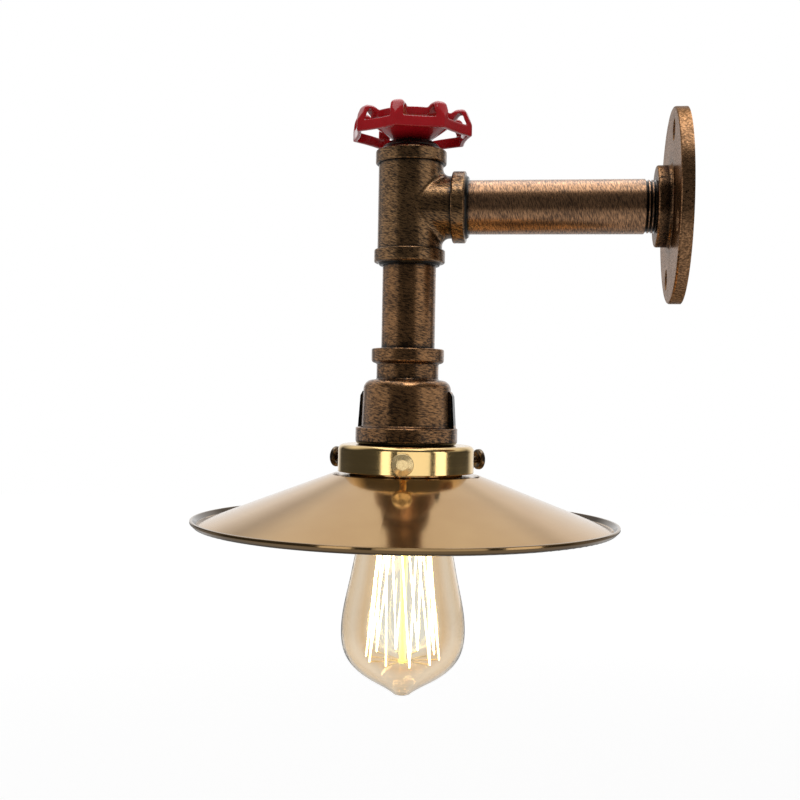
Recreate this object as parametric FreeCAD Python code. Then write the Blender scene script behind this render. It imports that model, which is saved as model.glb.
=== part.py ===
import FreeCAD, Part
import math
import os

# Industrial pipe wall light, in millimetres.
# The origin is the centre of the flange's back face, on the wall. +Z is up, the arm runs along -Y
# away from the wall, and the lamp's vertical axis stands at (0, -REACH).

# ---- driving dimensions -------------------------------------------------------------------------
OVERCUT = 1.0                 # how far a cutting shape runs past what it cuts
EDGE_ROUND = 0.5              # rounding of small machined edges
CAST_ROUND = 0.8              # rounding of cast edges
HEX_SIDES = 6
FIND_SLACK = 1.0              # tolerance when an edge is picked by its place
TOUCHING = 1e-6               # points nearer than this are one point

REACH = 136.5                 # wall to the lamp's vertical axis

PIPE_OD = 27.4                # 3/4-inch pipe with its plating
PIPE_BORE = 21.6
THREAD_OD = 26.5              # threaded ends of the pipes
THREAD_PITCH = 1.8
THREAD_DEPTH = 0.8
THREAD_CLEARANCE = 0.05       # radial play between a threaded end and its socket
THREAD_GRIP = 13.0            # length of pipe held in a fitting
GROOVE_HALF_WIDTH = 0.65      # half the width of a groove at the thread's crest
EXPOSED_TURNS = 3             # turns of thread left in sight beside the flange

FLANGE_OD = 97.0
FLANGE_THICKNESS = 6.2
FLANGE_EDGE_ROUND = 1.0
FLANGE_HUB_OD = 40.5
FLANGE_HUB_HEIGHT = 7.2
FLANGE_HUB_ROUND = 1.0
FLANGE_ROOT_ROUND = 2.0
FLANGE_HOLE_COUNT = 4
FLANGE_HOLE_CIRCLE = 75.0
FLANGE_HOLE_DIAMETER = 5.6
FLANGE_SINK_DIAMETER = 10.8
FLANGE_HOLE_START = -20.0     # degrees from straight up
PIPE_BACK_GAP = 1.5           # the arm's end stays this far inside the flange's back face

TEE_REACH = 28.6              # centre to the end of each band
TEE_BODY_OD = 33.2
TEE_BRANCH_STEP = 0.8         # branch's radius below the run's
TEE_BAND_OD = 36.4
TEE_BAND_WIDTH = 6.7
TEE_LIP_HEIGHT = 1.4          # bevelled lip that stands out of each band
TEE_LIP_OD = 30.6
TEE_LIP_BEVEL = 1.0           # width of the lip's bevel
TEE_CROTCH_ROUND = 4.0
TEE_SOCKET_RUNOUT = 0.5       # depth of each socket beyond the pipe's end
TEE_BRANCH_BORE = 20.4        # branch's passage, a little narrower than the run's

PLUG_COLLAR_OD = 29.0
PLUG_COLLAR_HEIGHT = 1.2
PLUG_HEX_FLATS = 22.4
PLUG_HEX_HEIGHT = 2.2
PLUG_CHAMFER_WIDTH = 2.0
PLUG_CHAMFER_HEIGHT = 1.0
PLUG_SHANK_LENGTH = 12.0

WHEEL_CORNER_RADIUS = 31.8
WHEEL_LOBES = 8
WHEEL_START = -8.0            # degrees of the first lobe from +X towards +Y
WHEEL_HOLLOW = 0.9            # how far each side of the rim bends inwards
WHEEL_BAND_HEIGHT = 5.3
WHEEL_WALL = 2.2
WHEEL_BAND_WALL = 2.4         # wall of the band under the windows, at its corners
WHEEL_HEIGHT = 13.8
WHEEL_SHOULDER_INSET = 1.4    # shoulder of the lobes from the corner radius
WHEEL_SHOULDER_HEIGHT = 8.6
WHEEL_SHOULDER_FALL = 0.6     # shoulder's inner side below its outer side
WHEEL_CREST_OUTER = 28.2      # radius where the lobes' crest starts to fall outwards
WHEEL_CREST_INNER = 23.8      # radius where it starts to fall inwards
WHEEL_CREST_WALL_INSET = 1.2  # hollow under the crest, narrower on each side by this
WHEEL_RIM_ROUND = 3.0         # rounding of the rim's outer corners
WHEEL_INNER_ROUND = 2.0       # rounding of its inner corners
WHEEL_RING_RADIUS = 21.3      # outer radius of the thin top ring
WHEEL_RING_HEIGHT = 11.6
WHEEL_RING_WIDTH = 1.6
WHEEL_RING_DEPTH = 3.3        # thickness of the metal under the top ring
WHEEL_RING_FLARE = 0.6        # foot of that metal beyond the ring's radius
WHEEL_RING_ROUND = 1.0
WHEEL_LOBE_WIDTH = 6.8
WHEEL_LOBE_ROUND = 2.6        # rounding of each lobe's crest, seen from outside
WHEEL_HUB_OD = 17.0
WHEEL_HUB_HEIGHT = 7.0
WHEEL_HUB_DROP = 1.2          # hub's underside below the rim's lower edge
WHEEL_BORE = 8.3
WHEEL_GAP = 0.5               # hub's underside above the plug's hexagon

SPINDLE_DIAMETER = 8.2
SPINDLE_DEPTH = 10.0          # length of the spindle inside the plug
WASHER_OD = 15.0
WASHER_THICKNESS = 1.0
WHEEL_END_PLAY = 0.3          # wheel to washer
NUT_FLATS = 13.0
NUT_HEIGHT = 4.5
SPINDLE_TIP = 0.8             # end of the spindle above its nut

DROP_GAP = 44.1               # lower band of the tee to the top of the reducer
REDUCER_TOP_BAND_OD = 37.2
REDUCER_TOP_BAND_HEIGHT = 6.8
REDUCER_NECK_OD = 31.8
REDUCER_NECK_HEIGHT = 8.8
REDUCER_SHOULDER_HEIGHT = 6.8
REDUCER_BODY_TOP_OD = 44.6
REDUCER_BODY_LOW_OD = 46.2
REDUCER_BODY_HEIGHT = 17.2
REDUCER_LOW_BAND_OD = 52.3
REDUCER_LOW_BAND_HEIGHT = 9.4
REDUCER_WEB = 5.2             # inner web that carries the hollow stud
REDUCER_RIB_COUNT = 2
REDUCER_RIB_THICKNESS = 5.0
REDUCER_RIB_TOP_OD = 48.6
REDUCER_RIB_LOW_OD = 50.8
REDUCER_RIB_START = 83.0      # degrees of the first rib from +X towards +Y
REDUCER_RIB_RISE = 1.5        # rib's root above the body's top
REDUCER_RIB_SHOULDER = 1.6    # rib's outer corner below the body's top
REDUCER_RIB_CHAMFER = 1.2
REDUCER_RIB_CREST = 0.6       # rib's upper corner above the body's top
REDUCER_LEDGE_FALL = 0.9      # slope of each ledge between two diameters
REDUCER_BAND_ROUND = 1.8
REDUCER_SHOULDER_ROUND = 5.0
REDUCER_MOUTH_ROUND = 2.2

STUD_DIAMETER = 10.0
STUD_BORE = 7.0
STUD_CLEARANCE = 0.1
STUD_NUT_FLATS = 14.0
STUD_NUT_HEIGHT = 4.0
STUD_RISE = 2.0               # end of the stud above its nut

HOLDER_WALL = 2.0
HOLDER_ROOM = 0.6             # holder to the wall of the reducer's cavity
HOLDER_CAP_HEIGHT = 14.0
HOLDER_CAP_TOP = 2.4
HOLDER_LENGTH = 42.0          # cap and body together
HOLDER_PLAY = 0.2             # holder to the parts that it passes through
HOLDER_CAP_ROUND = 2.0
HOLDER_CORNER_ROUND = 1.0
BASE_HEIGHT = 3.5
CONTACT_THICKNESS = 0.6
CONTACT_WIDTH = 6.0
CONTACT_LENGTH = 12.0
CONTACT_OFFSET = 2.4          # middle of the tongue from the lamp's axis
TERMINAL_SIZE = 4.0
TERMINAL_OFFSET = 6.0
TERMINAL_HOLE_DEPTH = 2.5     # how far each wire enters its terminal
TERMINAL_HOLE_PLAY = 0.1      # terminal's hole to the wire
SHELL_FOOT = 2.0              # screw shell's lower end above the holder's lower edge
SHELL_HEAD_GAP = 0.5          # screw shell's upper end below the contact
SHELL_COLLAR = 2.0            # plain ring below the shell's thread
SHELL_COLLAR_PLAY = 0.4       # that ring to the shell's crest
SHELL_TURNS = 5
SHELL_ROOM = 1.75             # screw shell to the inside of the holder's wall
SHADE_RING_WIDTH = 4.2
SHADE_RING_HEIGHT = 4.0

GALLERY_OD = 69.8
GALLERY_HEIGHT = 14.0
GALLERY_WALL = 1.3
GALLERY_ROUND = 3.0
GALLERY_BOSS_OD = 8.0
GALLERY_BOSS_LENGTH = 2.4
GALLERY_LIP_ROUND = 0.4

SCREW_COUNT = 3
SCREW_START = 5.0             # degrees of the first screw from +X towards +Y
SCREW_DIAMETER = 3.9
SCREW_HEAD_OD = 11.0
SCREW_HEAD_LENGTH = 3.8
SCREW_HEAD_RADIUS = 42.2      # inner side of the head from the lamp's axis
SCREW_DROP = 8.0              # below the gallery's top
SCREW_PLAY = 0.1
SCREW_TIP_GAP = 0.05          # screw's tip to the shade's neck
SCREW_NECK_LENGTH = 1.0       # how far the shank runs into the head's hollow side
SCREW_HEAD_EDGE = 1.3         # width of the head's bevelled inner edge
SCREW_HEAD_STEP = 0.5
SCREW_HEAD_BELLY = 2.3        # head's widest place from its inner side
SCREW_HEAD_FLAT = 2.5         # radius of the flat in the middle of the dome
SCREW_TIP_ROUND = 0.4

SHADE_NECK_OD = 57.0
SHADE_NECK_HEIGHT = 9.5
SHADE_SHEET = 0.9
SHADE_GAP = 1.4               # gallery's lower edge to the shade's flat top
SHADE_FLAT_RADIUS = 38.0
SHADE_OD = 218.0
SHADE_SLOPE = 21.0            # degrees below level
SHADE_LIP_HEIGHT = 2.7
SHADE_LIP_WIDTH = 3.6
SHADE_BEAD = 1.4
SHADE_NECK_ROUND = 0.6        # bend between the neck and the flat
SHADE_FLAT_ROUND = 1.6        # bend between the flat and the cone
SHADE_LIP_ROUND = 1.2         # bend between the cone and the lip, inside
SHADE_BEAD_ROUND = 0.5

BULB_OD = 63.6
BULB_LENGTH = 142.0           # cap's contact to the glass tip
BULB_NECK_OD = 26.6
BULB_NECK_LENGTH = 5.6        # near-straight part of the neck
BULB_WAIST_OD = 43.2
BULB_WAIST_DROP = 29.0        # each drop is measured from the top of the glass
BULB_SHOULDER_OD = 54.8
BULB_SHOULDER_DROP = 54.0
BULB_BELLY_DROP = 81.1        # widest place, BULB_OD across
BULB_CHEEK_OD = 58.4
BULB_CHEEK_RISE = 20.4        # each rise is measured from the tip
BULB_DOME_OD = 42.2
BULB_DOME_RISE = 11.5
BULB_FOOT_OD = 15.4
BULB_FOOT_RISE = 3.2
BULB_NIPPLE_OD = 10.8
BULB_NIPPLE_RISE = 1.6
BULB_GLASS_WALL = 0.8
BULB_CAP_OD = 26.2
BULB_CAP_LENGTH = 27.0
BULB_CAP_WALL = 0.5
BULB_THREAD_PITCH = 3.6
BULB_THREAD_DEPTH = 1.1
EDISON_BEND = 0.2             # rounding of the bulb's thread, as a share of its pitch
EDISON_CREST_START = 0.3      # where its crest starts, as a share of its pitch
BULB_PLAY = 0.35              # cap's crests to the screw shell
BULB_CAP_SKIRT = 3.2          # plain ring below the cap's thread
BULB_CAP_TURNS = 5
BULB_CAP_SHOULDER = 0.8       # where the cap starts to draw in above its thread
BULB_CAP_MOUTH_OD = 10.4      # cap's upper opening, filled by the insulator
BULB_CAP_MOUTH_RIM = 1.0
BULB_CAP_MOUTH_DROP = 1.6     # cap's upper edge below the contact's face
BULB_BEAD_LENGTH = 3.0        # insulator and contact together
BULB_BEAD_RISE = 1.2          # insulator's rim below the contact's face
BULB_BEAD_OD = 9.2            # insulator's flat top
BULB_PIN_DIAMETER = 5.6
BULB_CONTACT_OD = 8.8
BULB_CONTACT_FACE_OD = 6.8
BULB_CONTACT_THICKNESS = 0.6
GLASS_TIP_STEP = 0.6          # height of the drop of glass at the very tip
GLASS_TIP_INSET = 1.2         # its radius less than the foot's

FILAMENT_STRANDS = 10
FILAMENT_WIRE = 0.8
FILAMENT_TOP_RADIUS = 13.0
FILAMENT_LOW_RADIUS = 19.0
FILAMENT_TOP_DROP = 34.0      # upper hooks below the glass's top
FILAMENT_LOW_RISE = 18.5      # lower hooks above the glass's tip
SUPPORT_WIRE = 0.6
SUPPORT_GAP = 0.6             # end of each support to the middle of the filament's wire
SUPPORT_ROOT_RADIUS = 1.0
SUPPORT_TOP_DROP = 30.0
SUPPORT_LOW_RISE = 17.0
STEM_DIAMETER = 9.0
STEM_GLASS_GAP = 0.2          # stem's flare to the inside of the neck
STEM_TOP_DROP = 1.0
STEM_WAIST_DROP = 9.0
STEM_WAIST_FLARE = 0.6
STEM_PINCH_DROP = 24.0        # where the tube is pinched and narrows to the rod
STEM_PINCH_LENGTH = 6.0
STEM_ROUND = 2.0
ROD_DIAMETER = 3.4
ROD_LOW_RISE = 16.0           # rod's foot above the glass's tip
ROD_FOOT_WIDTH = 0.9
ROD_FOOT_HEIGHT = 2.0

WIRE_DIAMETER = 2.2
WIRE_OFFSET = 1.7             # each of the two wires from the pipe's middle
WIRE_BEND = 14.0              # bend radius of each wire in the tee
WIRE_GAP = 0.05               # end of each wire to what it is clamped to
WIRE_SPREAD_DROP = 1.0        # below the stud, where the two wires start to part
WIRE_STRIP_LENGTH = 1.4       # straight length of each wire above its terminal
BLOCK_LENGTH = 18.0
BLOCK_WIDTH = 12.0
BLOCK_HEIGHT = 9.0
BLOCK_INSET = 3.5             # connector block from the wall
BLOCK_SEAT_GAP = 0.1          # block's lower edges to the inside of the pipe
EARTH_RISE = 2.9              # earth wire above the other two
EARTH_SCREW_HEAD = 6.0
EARTH_SCREW_HEAD_HEIGHT = 2.0
EARTH_SCREW_DIAMETER = 3.0
EARTH_SCREW_LENGTH = 5.0
EARTH_TAG_THICKNESS = 0.8
EARTH_TAG_REACH = 4.8         # screw to the wire soldered to the tag
EARTH_TAG_WIDTH = 3.0
EARTH_TAG_TAIL = 1.0          # tail beyond the wire's middle
EARTH_TAG_PLAY = 0.1          # tag's hole to the screw
EARTH_THREAD_GAP = 0.2        # screw's end to the bottom of its hole

# ---- places worked out from the dimensions ------------------------------------------------------
THREAD_BORE = THREAD_OD + 2 * THREAD_CLEARANCE
TEE_BRANCH_OD = TEE_BODY_OD - 2 * TEE_BRANCH_STEP
FLANGE_HUB_FACE = FLANGE_THICKNESS + FLANGE_HUB_HEIGHT
TEE_END = TEE_REACH + TEE_LIP_HEIGHT
PLUG_HEX_BASE = TEE_END + PLUG_COLLAR_HEIGHT
PLUG_TOP = PLUG_HEX_BASE + PLUG_HEX_HEIGHT
WHEEL_EDGE = PLUG_TOP + WHEEL_GAP + WHEEL_HUB_DROP
WHEEL_HUB_BASE = WHEEL_EDGE - WHEEL_HUB_DROP
WHEEL_HUB_TOP = WHEEL_HUB_BASE + WHEEL_HUB_HEIGHT
WASHER_BASE = WHEEL_HUB_TOP + WHEEL_END_PLAY
NUT_BASE = WASHER_BASE + WASHER_THICKNESS
SPINDLE_TOP = NUT_BASE + NUT_HEIGHT + SPINDLE_TIP

REDUCER_TOP = -(TEE_REACH + DROP_GAP)
REDUCER_NECK_TOP = REDUCER_TOP - REDUCER_TOP_BAND_HEIGHT
REDUCER_NECK_LOW = REDUCER_NECK_TOP - REDUCER_NECK_HEIGHT
REDUCER_BODY_TOP = REDUCER_NECK_LOW - REDUCER_SHOULDER_HEIGHT
REDUCER_BAND_TOP = REDUCER_BODY_TOP - REDUCER_BODY_HEIGHT
REDUCER_LOW = REDUCER_BAND_TOP - REDUCER_LOW_BAND_HEIGHT
REDUCER_WEB_LOW = REDUCER_NECK_LOW - REDUCER_WEB

SHELL_CREST = BULB_CAP_OD / 2 + BULB_PLAY
SHELL_OD = 2 * (SHELL_CREST + BULB_THREAD_DEPTH + BULB_CAP_WALL)
HOLDER_OD = SHELL_OD + 2 * (SHELL_ROOM + HOLDER_WALL)
SHADE_RING_OD = HOLDER_OD + 2 * SHADE_RING_WIDTH
REDUCER_CAVITY_OD = HOLDER_OD + 2 * HOLDER_ROOM
HOLDER_TOP = REDUCER_WEB_LOW
HOLDER_SPLIT = HOLDER_TOP - HOLDER_CAP_HEIGHT
HOLDER_LOW = HOLDER_TOP - HOLDER_LENGTH
BASE_TOP = HOLDER_SPLIT + BASE_HEIGHT
TERMINAL_TOP = BASE_TOP + TERMINAL_SIZE
STUD_LOW = HOLDER_TOP - HOLDER_CAP_TOP
CONTACT_TOP = HOLDER_SPLIT
BULB_TOP = CONTACT_TOP - CONTACT_THICKNESS - BULB_PLAY

GALLERY_TOP = REDUCER_LOW
GALLERY_LOW = GALLERY_TOP - GALLERY_HEIGHT
SHADE_TOP = GALLERY_LOW - SHADE_GAP
SCREW_LEVEL = GALLERY_TOP - SCREW_DROP

BLOCK_LOW = BLOCK_SEAT_GAP - math.sqrt((PIPE_BORE / 2) ** 2 - (BLOCK_WIDTH / 2) ** 2)
BLOCK_END = -(BLOCK_INSET + BLOCK_LENGTH)
PAIR_LEVEL = BLOCK_LOW + BLOCK_HEIGHT / 2
EARTH_LEVEL = PAIR_LEVEL + EARTH_RISE
PLUG_SHANK_LOW = TEE_END - PLUG_SHANK_LENGTH

BULB_GLASS_TOP = BULB_TOP - BULB_CAP_LENGTH
BULB_TIP = BULB_TOP - BULB_LENGTH


# ---- helpers ------------------------------------------------------------------------------------
def vec(x, y, z):
    return FreeCAD.Vector(x, y, z)


def at_lamp(shape):
    """Moves a shape built round the Z axis to the lamp's vertical axis."""
    shape.translate(vec(0, -REACH, 0))
    return shape


def on_arm(shape):
    """Turns a shape built round Z so that its +Z runs out of the wall."""
    shape.rotate(vec(0, 0, 0), vec(1, 0, 0), 90)
    return shape


def rounded_outline(corners):
    """Edges of a closed outline of (radius, height, corner rounding) points in the XZ plane."""
    count = len(corners)
    points = [vec(c[0], 0, c[1]) for c in corners]
    rounds = [c[2] if len(c) > 2 else 0 for c in corners]
    starts, ends, middles = [], [], []
    for i in range(count):
        here = points[i]
        if not rounds[i]:
            starts.append(here)
            ends.append(here)
            middles.append(None)
            continue
        back = (points[i - 1] - here).normalize()
        ahead = (points[(i + 1) % count] - here).normalize()
        half = math.acos(max(-1.0, min(1.0, back.dot(ahead)))) / 2
        reach = rounds[i] / math.tan(half)
        bisector = (back + ahead).normalize()
        starts.append(here + back * reach)
        ends.append(here + ahead * reach)
        middles.append(here + bisector * (rounds[i] / math.sin(half) - rounds[i]))
    edges = []
    for i in range(count):
        if middles[i] is not None:
            edges.append(Part.Arc(starts[i], middles[i], ends[i]).toShape())
        following = starts[(i + 1) % count]
        if (following - ends[i]).Length > TOUCHING:
            edges.append(Part.LineSegment(ends[i], following).toShape())
    return edges


def turned(corners):
    """Solid of revolution round Z from a closed outline."""
    face = Part.Face(Part.Wire(rounded_outline(corners)))
    return face.revolve(vec(0, 0, 0), vec(0, 0, 1), 360)


def rod(diameter, low, high):
    return Part.makeCylinder(diameter / 2, high - low, vec(0, 0, low))


def tube(outer, inner, low, high):
    return rod(outer, low, high).cut(rod(inner, low - OVERCUT, high + OVERCUT))


def hexagon(flats, low, high):
    """Upright hexagonal prism with two flats facing +X and -X."""
    half_side = math.pi / HEX_SIDES
    radius = flats / 2 / math.cos(half_side)
    corners = []
    for i in range(HEX_SIDES + 1):
        angle = half_side * (2 * i + 1)
        corners.append(vec(radius * math.cos(angle), radius * math.sin(angle), low))
    return Part.Face(Part.makePolygon(corners)).extrude(vec(0, 0, high - low))


def thread_grooves(diameter, start, turns):
    """Rings that a thread's exposed turns cut into a rod, to be subtracted."""
    root = diameter / 2 - THREAD_DEPTH
    rim = diameter / 2 + OVERCUT
    half = GROOVE_HALF_WIDTH * (THREAD_DEPTH + OVERCUT) / THREAD_DEPTH
    grooves = []
    for i in range(turns):
        middle = start + (i + 0.5) * THREAD_PITCH
        grooves.append(turned([(root, middle), (rim, middle - half), (rim, middle + half)]))
    return grooves


def spaced(shape, count, start=0.0):
    """Copies of a shape turned evenly round Z."""
    copies = []
    for i in range(count):
        copy = shape.copy()
        copy.rotate(vec(0, 0, 0), vec(0, 0, 1), start + 360.0 * i / count)
        copies.append(copy)
    return copies


def export(name, shape):
    if not shape.isValid():
        print("invalid", name)
    print(f"{name:24s} solids {len(shape.Solids)}  volume {shape.Volume:10.1f}")
    shape.exportStep(f"parts/{name}.step")


# ---- arm and wall flange ------------------------------------------------------------------------
def wall_flange():
    bore = THREAD_BORE / 2
    body = turned([
        (bore, 0),
        (FLANGE_OD / 2, 0),
        (FLANGE_OD / 2, FLANGE_THICKNESS, FLANGE_EDGE_ROUND),
        (FLANGE_HUB_OD / 2, FLANGE_THICKNESS, FLANGE_ROOT_ROUND),
        (FLANGE_HUB_OD / 2, FLANGE_HUB_FACE, FLANGE_HUB_ROUND),
        (bore, FLANGE_HUB_FACE),
    ])
    sink_depth = (FLANGE_SINK_DIAMETER - FLANGE_HOLE_DIAMETER) / 2
    hole = rod(FLANGE_HOLE_DIAMETER, -OVERCUT, FLANGE_THICKNESS + OVERCUT)
    sink = Part.makeCone(
        FLANGE_HOLE_DIAMETER / 2, FLANGE_SINK_DIAMETER / 2 + OVERCUT, sink_depth + OVERCUT,
        vec(0, 0, FLANGE_THICKNESS - sink_depth),
    )
    drill = hole.fuse(sink)
    drill.translate(vec(0, FLANGE_HOLE_CIRCLE / 2, 0))
    body = body.cut(spaced(drill, FLANGE_HOLE_COUNT, FLANGE_HOLE_START))
    return on_arm(body)


def arm_pipe():
    far_end = REACH - TEE_END + THREAD_GRIP
    bare_start = FLANGE_HUB_FACE + EXPOSED_TURNS * THREAD_PITCH
    bare_end = REACH - TEE_END
    body = tube(THREAD_OD, PIPE_BORE, PIPE_BACK_GAP, far_end)
    body = body.fuse(tube(PIPE_OD, PIPE_BORE, bare_start, bare_end)).removeSplitter()
    body = body.cut(thread_grooves(THREAD_OD, FLANGE_HUB_FACE, EXPOSED_TURNS))
    return on_arm(body)


# ---- tee, plug and handwheel --------------------------------------------------------------------
def tee_band(low_side):
    """One banded end of the tee, pointing up: band and bevelled lip."""
    return turned([
        (0, low_side),
        (TEE_BAND_OD / 2, low_side, CAST_ROUND),
        (TEE_BAND_OD / 2, TEE_REACH, CAST_ROUND),
        (TEE_LIP_OD / 2 + TEE_LIP_BEVEL, TEE_REACH),
        (TEE_LIP_OD / 2, TEE_END, EDGE_ROUND),
        (0, TEE_END),
    ])


def tee():
    """Cast tee: run, branch towards the wall, three bands, and a threaded socket in each end."""
    band_low = TEE_REACH - TEE_BAND_WIDTH
    run = rod(TEE_BODY_OD, -band_low - OVERCUT, band_low + OVERCUT)
    branch = to_branch(rod(TEE_BRANCH_OD, 0, band_low + OVERCUT))
    body = run.fuse(branch).removeSplitter()
    crotch = [edge for edge in body.Edges if is_crotch(edge)]
    body = body.makeFillet(TEE_CROTCH_ROUND, crotch)
    band = tee_band(band_low)
    body = body.fuse([band, upside_down(band), to_branch(band)])
    depth = TEE_END - THREAD_GRIP - TEE_SOCKET_RUNOUT
    socket = rod(THREAD_BORE, depth, TEE_END + OVERCUT)
    passage = rod(PIPE_BORE, -TEE_END, TEE_END)
    side_passage = to_branch(rod(TEE_BRANCH_BORE, 0, TEE_END))
    body = body.cut([passage, side_passage, socket, upside_down(socket), to_branch(socket)])
    return at_lamp(body)


def upside_down(shape):
    """Copy of a shape built round Z, turned to point down."""
    copy = shape.copy()
    copy.rotate(vec(0, 0, 0), vec(1, 0, 0), 180)
    return copy


def to_branch(shape):
    """Copy of a shape built round Z, turned to point along the tee's branch, to the wall."""
    copy = shape.copy()
    copy.rotate(vec(0, 0, 0), vec(1, 0, 0), -90)
    return copy


def is_crotch(edge):
    """True for the curve where the tee's branch meets its run."""
    box = edge.BoundBox
    wide = min(box.XLength, box.ZLength) > TEE_BRANCH_OD - FIND_SLACK
    return wide and box.YMin > 0 and box.YMax < TEE_BODY_OD / 2 + FIND_SLACK


def tee_plug():
    """Hexagon plug with a threaded shank, a round collar and a seat for the spindle."""
    flat = PLUG_HEX_FLATS / 2
    shank = rod(THREAD_OD, PLUG_SHANK_LOW, TEE_END)
    collar = turned([
        (0, TEE_END),
        (PLUG_COLLAR_OD / 2, TEE_END),
        (PLUG_COLLAR_OD / 2, PLUG_HEX_BASE, EDGE_ROUND),
        (0, PLUG_HEX_BASE),
    ])
    crown = turned([
        (0, PLUG_HEX_BASE),
        (flat + PLUG_CHAMFER_WIDTH, PLUG_HEX_BASE),
        (flat + PLUG_CHAMFER_WIDTH, PLUG_TOP - PLUG_CHAMFER_HEIGHT),
        (flat, PLUG_TOP),
        (0, PLUG_TOP),
    ])
    head = hexagon(PLUG_HEX_FLATS, PLUG_HEX_BASE, PLUG_TOP).common(crown)
    body = shank.fuse([collar, head]).removeSplitter()
    seat = rod(SPINDLE_DIAMETER, PLUG_TOP - SPINDLE_DEPTH, PLUG_TOP + OVERCUT)
    thread = rod(EARTH_SCREW_DIAMETER, PLUG_SHANK_LOW - OVERCUT, PLUG_SHANK_LOW + EARTH_SCREW_LENGTH)
    return at_lamp(body.cut([seat, thread]))


def wheel_spindle():
    body = turned([
        (0, PLUG_TOP - SPINDLE_DEPTH),
        (SPINDLE_DIAMETER / 2, PLUG_TOP - SPINDLE_DEPTH),
        (SPINDLE_DIAMETER / 2, SPINDLE_TOP, EDGE_ROUND),
        (0, SPINDLE_TOP),
    ])
    return at_lamp(body)


def wheel_outline(corner_radius, hollow, low, high):
    """Prism whose eight sides bend inwards between the wheel's corners."""
    step = 2 * math.pi / WHEEL_LOBES
    start = math.radians(WHEEL_START)
    edges = []
    for i in range(WHEEL_LOBES):
        first = start + i * step
        middle = first + step / 2
        last = first + step
        depth = corner_radius * math.cos(step / 2) - hollow
        a = vec(corner_radius * math.cos(first), corner_radius * math.sin(first), low)
        m = vec(depth * math.cos(middle), depth * math.sin(middle), low)
        b = vec(corner_radius * math.cos(last), corner_radius * math.sin(last), low)
        edges.append(Part.Arc(a, m, b).toShape())
    return Part.Face(Part.Wire(edges)).extrude(vec(0, 0, high - low))


def wheel_shell():
    """Crown of the wheel as a turned shell: skirt, rounded crest, top ring and dished web."""
    skirt = WHEEL_CORNER_RADIUS
    skirt_top = WHEEL_EDGE + WHEEL_BAND_HEIGHT
    shoulder = skirt - WHEEL_SHOULDER_INSET
    shoulder_top = WHEEL_EDGE + WHEEL_SHOULDER_HEIGHT
    crest = WHEEL_EDGE + WHEEL_HEIGHT
    crest_low = crest - WHEEL_WALL
    ring = WHEEL_EDGE + WHEEL_RING_HEIGHT
    hub = WHEEL_HUB_OD / 2
    outside = [
        (skirt, WHEEL_EDGE),
        (skirt, skirt_top, WHEEL_RIM_ROUND),
        (shoulder, shoulder_top, WHEEL_RIM_ROUND),
        (WHEEL_CREST_OUTER, crest, WHEEL_RIM_ROUND),
        (WHEEL_CREST_INNER, crest, WHEEL_INNER_ROUND),
        (WHEEL_RING_RADIUS, ring, WHEEL_RING_ROUND),
        (WHEEL_RING_RADIUS - WHEEL_RING_WIDTH, ring, EDGE_ROUND),
        (hub - OVERCUT, WHEEL_EDGE + WHEEL_HUB_DROP),
    ]
    inside = [
        (hub - OVERCUT, WHEEL_HUB_BASE),
        (hub, WHEEL_HUB_BASE),
        (WHEEL_RING_RADIUS + WHEEL_RING_FLARE, ring - WHEEL_RING_DEPTH, WHEEL_RING_ROUND),
        (WHEEL_CREST_INNER + WHEEL_CREST_WALL_INSET, crest_low, WHEEL_RING_ROUND),
        (WHEEL_CREST_OUTER - WHEEL_CREST_WALL_INSET, crest_low, WHEEL_INNER_ROUND),
        (shoulder - WHEEL_WALL, shoulder_top - WHEEL_SHOULDER_FALL, WHEEL_INNER_ROUND),
        (skirt - WHEEL_WALL, skirt_top, WHEEL_INNER_ROUND),
        (skirt - WHEEL_WALL, WHEEL_EDGE),
    ]
    return turned(outside + inside)


def lobe_bar():
    """Radial bar that bounds one lobe, with its two upper edges rounded."""
    half = WHEEL_LOBE_WIDTH / 2
    crest = WHEEL_EDGE + WHEEL_HEIGHT
    outline = rounded_outline([
        (-half, WHEEL_EDGE - OVERCUT),
        (half, WHEEL_EDGE - OVERCUT),
        (half, crest, WHEEL_LOBE_ROUND),
        (-half, crest, WHEEL_LOBE_ROUND),
    ])
    bar = Part.Face(Part.Wire(outline)).extrude(vec(0, -WHEEL_CORNER_RADIUS - OVERCUT, 0))
    bar.rotate(vec(0, 0, 0), vec(0, 0, 1), 90)
    return bar


def handwheel():
    """Eight-lobed wheel: an open band below, windows between the lobes, a dished web and a hub."""
    corner = WHEEL_CORNER_RADIUS
    low = WHEEL_EDGE - OVERCUT
    high = WHEEL_EDGE + WHEEL_HEIGHT + OVERCUT
    band_top = WHEEL_EDGE + WHEEL_BAND_HEIGHT
    outline = wheel_outline(corner, WHEEL_HOLLOW, low, high)
    inner = wheel_outline(corner - WHEEL_BAND_WALL, WHEEL_HOLLOW, low, band_top + OVERCUT)
    band = wheel_outline(corner, WHEEL_HOLLOW, WHEEL_EDGE, band_top).cut(inner)
    windows = tube(2 * (corner + OVERCUT), 2 * WHEEL_RING_RADIUS, band_top, high)
    windows = windows.cut(spaced(lobe_bar(), WHEEL_LOBES, WHEEL_START))
    hub = rod(WHEEL_HUB_OD, WHEEL_HUB_BASE, WHEEL_HUB_TOP)
    body = wheel_shell().common(outline).cut(windows)
    body = body.fuse([band, hub]).removeSplitter()
    body = body.cut(rod(WHEEL_BORE, WHEEL_HUB_BASE - OVERCUT, WHEEL_HUB_TOP + OVERCUT))
    return at_lamp(body)


def wheel_washer():
    return at_lamp(tube(WASHER_OD, WHEEL_BORE, WASHER_BASE, NUT_BASE))


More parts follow.
